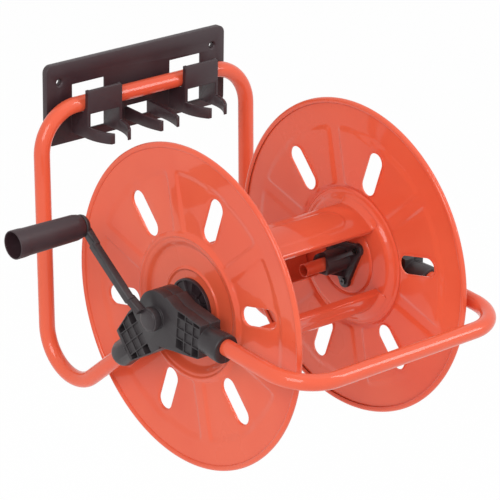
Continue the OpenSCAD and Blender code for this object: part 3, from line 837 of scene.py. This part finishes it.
def flange_mesh(name, side, sizes):
    """The flange's outer face: dished middle, beads, six slotted panels and a rolled rim."""
    sheet = Sheet()
    arc_out, arc_in, sides = 84, 54, 26
    border = sector_border(arc_out, arc_in, sides)
    rows = sector_rows(border, sizes)

    def place(u, v, depth, turn=0.0):
        c, s = math.cos(turn), math.sin(turn)
        return side_point(side * (RIM_PLANE - depth), u * c - v * s, u * s + v * c)

    for k in range(SECTORS):
        turn = SLOT_TURN + k * math.pi / 3
        sheet.grid([sheet.row([place(*p, turn) for p in row]) for row in rows], closed=True)

    def ring(radius, depth, count):
        turns = [SLOT_TURN + HALF_SECTOR + 2 * math.pi * i / count for i in range(count)]
        return sheet.row([place(radius * math.cos(t), radius * math.sin(t), depth) for t in turns])

    # close together over the beads and the dish
    stations = [HUB_HOLE, 30.0, 38.0, 40.5]
    stations += [41.0 + 0.5 * i for i in range(13)] + [50.0, 58.0, 64.0]
    stations += [67.5 + 0.75 * i for i in range(16)] + [79.3 + 0.57 * i for i in range(11)]
    stations = [r for r in stations if r < SECTOR_IN - 0.3] + [SECTOR_IN]
    sheet.grid([ring(r, sheet_depth(r, sizes), arc_in * SECTORS) for r in stations], closed=True)
    bead_r = sizes.flange_radius / MM - RIM_BEAD
    outer = [SECTOR_OUT, 163.0, 166.0, 171.0, 176.0, 180.0, bead_r - RIM_FLAT]
    around = arc_out * SECTORS
    rim = [ring(r, sheet_depth(r, sizes), around) for r in outer]
    for i in range(RIM_STEPS + 1):
        t = math.radians(lerp(RIM_START, RIM_STOP, i / RIM_STEPS))
        rim.append(ring(bead_r + RIM_BEAD * math.cos(t), RIM_BEAD * math.sin(t), around))
    sheet.grid(rim, closed=True)
    return sheet.mesh(name, weld=3e-5, flip=side > 0)


class HOSEREEL_OT_flanges(bpy.types.Operator):
    """Makes the two pressed flanges of the drum"""

    bl_idname = "hosereel.flanges"
    bl_label = "Flanges"

    def execute(self, context):
        sizes = context.scene.reel_sizes
        for side, node in ((CRANK_SIDE, "crank_flange"), (INLET_SIDE, "inlet_flange")):
            mesh = flange_mesh(node + "_pressing", side, sizes)
            piece = show(mesh, node + "_pressing", "drum", "flange_paint", node)
            thicken(piece, sizes.sheet)
        return {"FINISHED"}


# the drum bar's section and end, in millimetres and degrees
BAR_RADIUS, BAR_HALF, BAR_LIP = 67.5, 26.0, 9.0
BAR_END = 115.6
# the round between top and side, as a drop and an angle
BAR_ROUND, BAR_ROUND_TURN = 3.2, 2.7
# the raised panel along the top: half its straight length, half its width, its slope and its height
RAISED_REACH, RAISED_HALF, RAISED_SLOPE, RAISED_HEIGHT = 72.0, 15.2, 2.6, 0.9
# stations along the bar's end tab and how far it has bent outward there
BAR_FLARE = (
    (112.9, 0.1),
    (113.7, 0.45),
    (114.4, 0.95),
    (115.0, 1.6),
    (115.9, 2.9),
    (117.2, 4.9),
    (118.7, 7.2),
)
BAR_TURNS = (("drum_bar_1", 108.0), ("drum_bar_2", 228.0), ("drum_bar_3", 348.0))


def bar_section():
    """Points across a bar as radius, angle in degrees and how far the end flare moves them."""
    half, turned_in = BAR_HALF, BAR_HALF - BAR_ROUND_TURN
    below = BAR_RADIUS - BAR_ROUND
    low = [(lerp(BAR_RADIUS - BAR_LIP, below, i / 4), half, 0.0) for i in range(5)]
    corner = []
    for i in range(1, 7):
        t = i / 6
        a, b = Vector((below, half, 0)), Vector((BAR_RADIUS, half, 0))
        c = Vector((BAR_RADIUS, turned_in, 0))
        p = lerp(lerp(a, b, t), lerp(b, c, t), t)
        corner.append((p.x, p.y, smooth(t)))
    arc = [(BAR_RADIUS, lerp(turned_in, 0.0, i / 18), 1.0) for i in range(1, 19)]
    one = low + corner + arc
    return [(r, -a, w) for r, a, w in one] + [(r, a, w) for r, a, w in reversed(one[:-1])]


def bar_panel(x, turn):
    """Height of the long raised panel with round ends."""
    across = abs(math.radians(turn)) * BAR_RADIUS
    past = max(abs(x) - RAISED_REACH, 0.0)
    reach = math.hypot(past, across) if past > 0 else across
    return RAISED_HEIGHT * (1.0 - smooth((reach - RAISED_HALF) / RAISED_SLOPE))


def bar_mesh(name, turn):
    """The outer face of a bar with its raised panel and its two bent end tabs."""
    section = bar_section()
    # close together over the round end of the raised panel
    fine = [62.0 + i * 1.5 for i in range(22)]
    stations = [0.0, 12.0, 24.0, 36.0, 48.0, 56.0] + fine + [98.0, 104.0, 110.0, 112.0]
    sheet = Sheet()
    rows = []

    def row(x, rise, sign):
        points = []
        for r, a, w in section:
            lift = bar_panel(x, a) if w == 1.0 and rise == 0 else 0.0
            at = x if rise == 0 else lerp(min(x, BAR_END), x, w)
            points.append(about_axle(sign * at, r + lift + rise * w, math.radians(turn + a)))
        return sheet.row(points)

    for sign in (-1, 1):
        side = [row(x, 0.0, sign) for x in stations]
        side += [row(x, rise, sign) for x, rise in BAR_FLARE]
        rows = list(reversed(side)) if sign < 0 else rows + side[1:]
    sheet.grid(rows)
    mesh = sheet.mesh(name, weld=1e-6)
    probe = max(mesh.polygons, key=lambda f: f.area)
    away = Vector((0, math.cos(math.radians(turn)), math.sin(math.radians(turn))))
    if probe.normal.dot(away) < 0:
        mesh.flip_normals()
    return mesh


class HOSEREEL_OT_bars(bpy.types.Operator):
    """Makes the three bent sheet bars that join the flanges"""

    bl_idname = "hosereel.bars"
    bl_label = "Drum bars"

    def execute(self, context):
        for node, turn in BAR_TURNS:
            mesh = bar_mesh(node + "_sheet", turn)
            piece = show(mesh, node + "_sheet", "drum", "bar_paint", node)
            thicken(piece, context.scene.reel_sizes.sheet)
        return {"FINISHED"}


# corners of the frame's centre lines from the axle, as Y and Z in millimetres
TOP_BAR, LOW_CORNER, FRONT_BAR = (226.2, 176.3), (216.5, -191.5), (-225.5, -15.5)
REAR_AIM, FRONT_AIM = (0.0, -8.8), (0.0, 2.5)
ARM_PLANE, ARM_STOP = 156.0, 26.0
BEND_STEP = 4.0
# the water tube's bore, its drawn open end and the rest of it
WATER_BORE, WATER_END_RADIUS, WATER_RADIUS, WATER_END = 6.5, 7.8, 8.0, 25.2


def arm_end(aim, corner):
    """Where an arm stops inside its housing."""
    along = Vector((corner[0] - aim[0], corner[1] - aim[1])).normalized() * ARM_STOP
    return (aim[0] + along.x, aim[1] + along.y)


class HOSEREEL_OT_tubes(bpy.types.Operator):
    """Makes the bent tubes of the frame and the water tube"""

    bl_idname = "hosereel.tubes"
    bl_label = "Tubes"

    def execute(self, context):
        sizes = context.scene.reel_sizes
        rear = [arm_end(REAR_AIM, LOW_CORNER), LOW_CORNER, TOP_BAR]
        front = [arm_end(FRONT_AIM, FRONT_BAR), FRONT_BAR]
        for node, line in (("rear_tube", rear), ("front_tube", front)):
            corners = [side_point(-ARM_PLANE, *p) for p in line]
            corners += [side_point(ARM_PLANE, *p) for p in reversed(line)]
            path = filleted(corners, sizes.bend_radius, BEND_STEP)
            mesh = swept(node + "_bent", path, sizes.tube_radius, sizes.tube_sides)
            show(mesh, node + "_bent", "frame", "frame_paint", node)
            shade_mesh(mesh, 60.0)
        low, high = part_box("water_tube")
        mouth, back = low.x / MM, high.x / MM
        outline = [(WATER_BORE, back), (WATER_BORE, mouth + 0.7)]
        outline += [(WATER_BORE + 0.4, mouth), (WATER_END_RADIUS - 0.5, mouth)]
        outline += [(WATER_END_RADIUS, mouth + 0.5), (WATER_END_RADIUS, mouth + WATER_END - 0.6)]
        outline += [(WATER_RADIUS, mouth + WATER_END), (WATER_RADIUS, back), (WATER_BORE, back)]
        mesh = turned("water_tube_drawn", eased(outline, 0.4), lambda x: x, (AXLE_Y, AXLE_Z), 64)
        show(mesh, "water_tube_drawn", "drum", "tube_paint", "water_tube")
        shade_mesh(mesh, 50.0)
        return {"FINISHED"}


def gather_strays(shell, solid, reach):
    """Draws each point that left the solid's surface back to the middle one of its neighbours."""
    strays = {point for point in shell.verts if solid.find_nearest(point.co)[3] > reach}
    while strays:
        settled = []
        for point in strays:
            around = [edge.other_vert(point) for edge in point.link_edges]
            around = [other.co for other in around if other not in strays]
            if around:
                middle = min(around, key=lambda at: sum((at - other).length for other in around))
                settled.append((point, middle.copy()))
        if not settled:
            break
        for point, place in settled:
            point.co = place
            strays.discard(point)


# edges that turn more than this many degrees are rounded, in this many steps
SHARP_TURN, ROUND_STEPS = 28.0, 2


def moulded(node, body, slot, radius):
    """A moulded piece: the solid's own shape with every edge rounded."""
    shell = bmesh.new()
    shell.from_mesh(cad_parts[node].data)
    bmesh.ops.remove_doubles(shell, verts=shell.verts, dist=3e-6)
    bmesh.ops.dissolve_degenerate(shell, edges=shell.edges, dist=2e-6)
    bmesh.ops.dissolve_limit(
        shell, angle_limit=math.radians(0.6), verts=shell.verts, edges=shell.edges, delimit=set()
    )
    solid = BVHTree.FromBMesh(shell)
    sharp = [
        edge
        for edge in shell.edges
        if len(edge.link_faces) == 2 and edge.calc_face_angle(0.0) > math.radians(SHARP_TURN)
    ]
    bmesh.ops.bevel(
        shell,
        geom=sharp,
        offset=radius,
        offset_type="OFFSET",
        segments=ROUND_STEPS,
        profile=0.5,
        affect="EDGES",
        clamp_overlap=False,
        miter_outer="SHARP",
    )
    gather_strays(shell, solid, radius * 0.6)
    mesh = bpy.data.meshes.new(node + "_moulding")
    shell.to_mesh(mesh)
    shell.free()
    show(mesh, node + "_moulding", body, slot, node)
    shade_mesh(mesh, 35.0)


class HOSEREEL_OT_bracket(bpy.types.Operator):
    """Makes the moulded wall bracket"""

    bl_idname = "hosereel.bracket"
    bl_label = "Wall bracket"

    def execute(self, context):
        moulded("wall_bracket", "wall", "bracket_plastic", context.scene.reel_sizes.edge_radius)
        return {"FINISHED"}


class HOSEREEL_OT_housings(bpy.types.Operator):
    """Makes the two side housings and the water inlet"""

    bl_idname = "hosereel.housings"
    bl_label = "Housings"

    def execute(self, context):
        radius = context.scene.reel_sizes.edge_radius
        for node in (
            "crank_housing_outer",
            "crank_housing_inner",
            "inlet_housing_outer",
            "inlet_housing_inner",
            "inlet_elbow",
        ):
            moulded(node, "frame", "housing_plastic", radius * 0.7)
        return {"FINISHED"}


class HOSEREEL_OT_hubs(bpy.types.Operator):
    """Makes the moulded hubs inside and outside the flanges"""

    bl_idname = "hosereel.hubs"
    bl_label = "Hubs"

    def execute(self, context):
        radius = context.scene.reel_sizes.edge_radius
        for node in ("crank_hub_outer", "crank_hub_inner", "inlet_hub_outer", "inlet_hub_inner"):
            moulded(node, "drum", "hub_plastic", radius * 0.6)
        return {"FINISHED"}


# the grip's middle line, its pin hole and the depth of its hollow end, in millimetres
GRIP_PLACE = (AXLE_Y + 104.87, AXLE_Z + 83.42)
PIN_HOLE, GRIP_HOLLOW = 4.1, 20.0


class HOSEREEL_OT_crank(bpy.types.Operator):
    """Makes the crank arm, its cap and the grip"""

    bl_idname = "hosereel.crank"
    bl_label = "Crank"

    def execute(self, context):
        radius = context.scene.reel_sizes.edge_radius
        moulded("crank_arm", "drum", "crank_plastic", radius)
        moulded("crank_cap", "drum", "crank_plastic", radius * 0.5)
        low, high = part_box("crank_grip")
        inner, outer = -high.x / MM, -low.x / MM
        end = (high.y - low.y) / MM / 2
        floor = outer - GRIP_HOLLOW
        outline = [(PIN_HOLE, inner), (end - 4.1, inner), (end - 2.7, inner + 2.8)]
        outline += [(end - 1.55, inner + 9.0), (end - 0.65, outer - 17.0)]
        outline += [(end - 0.05, outer - 12.0), (end, outer - 9.0), (end, outer - 0.6)]
        outline += [(end - 0.5, outer), (end - 1.3, outer), (end - 1.7, outer - 0.7)]
        outline += [(end - 2.4, floor), (7.4, floor), (PIN_HOLE, floor), (PIN_HOLE, inner)]
        mesh = turned("crank_grip_sleeve", eased(outline, 1.0, 4), lambda x: -x, GRIP_PLACE, 96)
        show(mesh, "crank_grip_sleeve", "grip", "grip_plastic", "crank_grip")
        shade_mesh(mesh, 40.0)
        return {"FINISHED"}


FITTINGS = {
    "screw_steel": (
        "crank_housing_screws",
        "inlet_housing_screws",
        "inlet_elbow_screws",
        "crank_hub_screws",
        "inlet_hub_screws",
        "crank_screw",
        "grip_pin",
    ),
    "axle_steel": ("crank_axle",),
    "bush_plastic": ("crank_bush", "inlet_bush"),
    "seal_rubber": ("inlet_seals",),
}


class HOSEREEL_OT_fittings(bpy.types.Operator):
    """Finishes the screws, pins, bushes and seals"""

    bl_idname = "hosereel.fittings"
    bl_label = "Fittings"

    def execute(self, context):
        for slot, nodes in FITTINGS.items():
            for node in nodes:
                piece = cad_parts[node]
                for place in piece.material_slots:
                    place.link = "OBJECT"
                    place.material = finish_for(slot)
        return {"FINISHED"}


def look_from(place, aim):
    return (aim - place).to_track_quat("-Z", "Y").to_euler()


def area_light(name, place, aim, width, height, power):
    lamp = bpy.data.lights.new(name, "AREA")
    lamp.shape = "RECTANGLE"
    lamp.size, lamp.size_y = width, height
    lamp.energy = power
    made = bpy.data.objects.new(name, lamp)
    made.location = place
    made.rotation_euler = look_from(place, aim)
    bpy.context.scene.collection.objects.link(made)


def seen_directly(board):
    """One for rays from the camera, a mirror or a clear surface, and zero for light on the part."""
    path = board.add("ShaderNodeLightPath")
    either = board.math("MAXIMUM", path.outputs["Is Camera Ray"], path.outputs["Is Glossy Ray"])
    return board.math("MAXIMUM", either, path.outputs["Is Transmission Ray"])


# the floor's half width and how far it lies below the part, in metres
FLOOR_REACH, FLOOR_DROP = 9, 0.45
# how much of the floor shows as plain white, the rest being its own shaded colour
FLOOR_WHITE = 0.97
# place, width, height and power setting of each lamp
LAMPS = {
    "Key": ((-2.3, -1.6, 1.4), 1.6, 1.6, "key_power"),
    "Top": ((0.3, -0.6, 1.9), 1.4, 1.4, "top_power"),
    "Strip": ((1.7, -2.0, 1.5), 0.55, 2.4, "strip_power"),
}
# the camera's place in metres, and its azimuth, elevation and roll in degrees
CAMERA_PLACE = (-2.0190, -2.4904, 1.0201)
CAMERA_TURN = (41.5591, 21.4228, 0.8476)
WHITE = (1, 1, 1, 1)


def studio_world(strength):
    """Even light all round, seen as white."""
    world = bpy.data.worlds.new("Studio")
    world.use_nodes = True
    world.node_tree.nodes.clear()
    board = NodeBoard(world.node_tree)
    out = board.add("ShaderNodeOutputWorld")
    soft = board.add("ShaderNodeBackground", Color=WHITE, Strength=strength)
    plain = board.add("ShaderNodeBackground", Color=WHITE, Strength=1.0)
    shown = board.add("ShaderNodeMixShader", Fac=seen_directly(board))
    board.feed(shown, "1", soft.outputs[0])
    board.feed(shown, "2", plain.outputs[0])
    board.feed(out, "Surface", shown.outputs[0])
    return world


def pale_floor():
    """A wide floor below the part, white but for the shadow."""
    mesh = bpy.data.meshes.new("floor")
    level, far = SOLID_LOW.z - FLOOR_DROP, FLOOR_REACH
    corners = [(-far, -far, level), (far, -far, level), (far, far, level), (-far, far, level)]
    mesh.from_pydata(corners, [], [(0, 1, 2, 3)])
    floor = bpy.data.objects.new("floor", mesh)
    made, board, skin = new_material("Pale floor")
    skin.inputs["Base Color"].default_value = (0.96, 0.96, 0.96, 1)
    skin.inputs["Roughness"].default_value = 0.9
    glow = board.add("ShaderNodeEmission", Color=WHITE, Strength=1.0)
    share = board.math("MULTIPLY", seen_directly(board), FLOOR_WHITE)
    shown = board.add("ShaderNodeMixShader", Fac=share)
    board.feed(shown, "1", skin.outputs[0])
    board.feed(shown, "2", glow.outputs[0])
    out = next(n for n in made.node_tree.nodes if n.bl_idname == "ShaderNodeOutputMaterial")
    board.feed(out, "Surface", shown.outputs[0])
    mesh.materials.append(made)
    return floor


def long_camera(focal):
    """A camera with a long lens, in front and to the left."""
    azimuth, elevation, roll = (math.radians(a) for a in CAMERA_TURN)
    level = math.cos(elevation)
    ahead = Vector((math.sin(azimuth) * level, math.cos(azimuth) * level, -math.sin(elevation)))
    right = Vector((math.cos(azimuth), -math.sin(azimuth), 0.0))
    up = right.cross(ahead)
    right, up = (
        right * math.cos(roll) + up * math.sin(roll),
        up * math.cos(roll) - right * math.sin(roll),
    )
    lens = bpy.data.cameras.new("Camera")
    lens.lens = focal
    lens.sensor_width = 36.0
    lens.clip_end = 50.0
    camera = bpy.data.objects.new("Camera", lens)
    turn = Matrix((right, up, -ahead)).transposed().to_4x4()
    camera.matrix_world = Matrix.Translation(CAMERA_PLACE) @ turn
    return camera


class HOSEREEL_OT_stage(bpy.types.Operator):
    """Makes the floor, the light and the camera"""

    bl_idname = "hosereel.stage"
    bl_label = "Stage"

    def execute(self, context):
        scene = context.scene
        stage = scene.reel_stage
        scene.view_settings.view_transform = "Standard"
        scene.world = studio_world(stage.sky)
        floor = pale_floor()
        scene.collection.objects.link(floor)
        middle = (SOLID_LOW + SOLID_HIGH) / 2
        for name, (place, width, height, power) in LAMPS.items():
            area_light(name, Vector(place), middle, width, height, getattr(stage, power))
        camera = long_camera(stage.lens)
        scene.collection.objects.link(camera)
        scene.camera = camera
        return {"FINISHED"}


class HOSEREEL_PT_panel(bpy.types.Panel):
    """Lists the reel's sizes, finishes and pieces"""

    bl_idname = "HOSEREEL_PT_panel"
    bl_label = "Hose Reel"
    bl_space_type = "VIEW_3D"
    bl_region_type = "UI"
    bl_category = "Hose Reel"

    def draw(self, context):
        layout = self.layout
        for _, name in GROUPS:
            group = getattr(context.scene, name)
            box = layout.box()
            for key in group.__annotations__:
                box.prop(group, key)
        for operator in OPERATORS:
            layout.operator(operator.bl_idname)


OPERATORS = (
    HOSEREEL_OT_stage,
    HOSEREEL_OT_flanges,
    HOSEREEL_OT_bars,
    HOSEREEL_OT_tubes,
    HOSEREEL_OT_bracket,
    HOSEREEL_OT_housings,
    HOSEREEL_OT_hubs,
    HOSEREEL_OT_crank,
    HOSEREEL_OT_fittings,
)
GROUPS = ((ReelSizes, "reel_sizes"), (ReelFinish, "reel_finish"), (ReelStage, "reel_stage"))


def register():
    for group, name in GROUPS:
        bpy.utils.register_class(group)
        setattr(bpy.types.Scene, name, PointerProperty(type=group))
    for item in (*OPERATORS, HOSEREEL_PT_panel):
        bpy.utils.register_class(item)


def unregister():
    for item in (HOSEREEL_PT_panel, *reversed(OPERATORS)):
        bpy.utils.unregister_class(item)
    for group, name in reversed(GROUPS):
        delattr(bpy.types.Scene, name)
        bpy.utils.unregister_class(group)


def main():
    register()
    for operator in OPERATORS:
        family, name = operator.bl_idname.split(".")
        getattr(getattr(bpy.ops, family), name)()


if __name__ == "__main__":
    main()
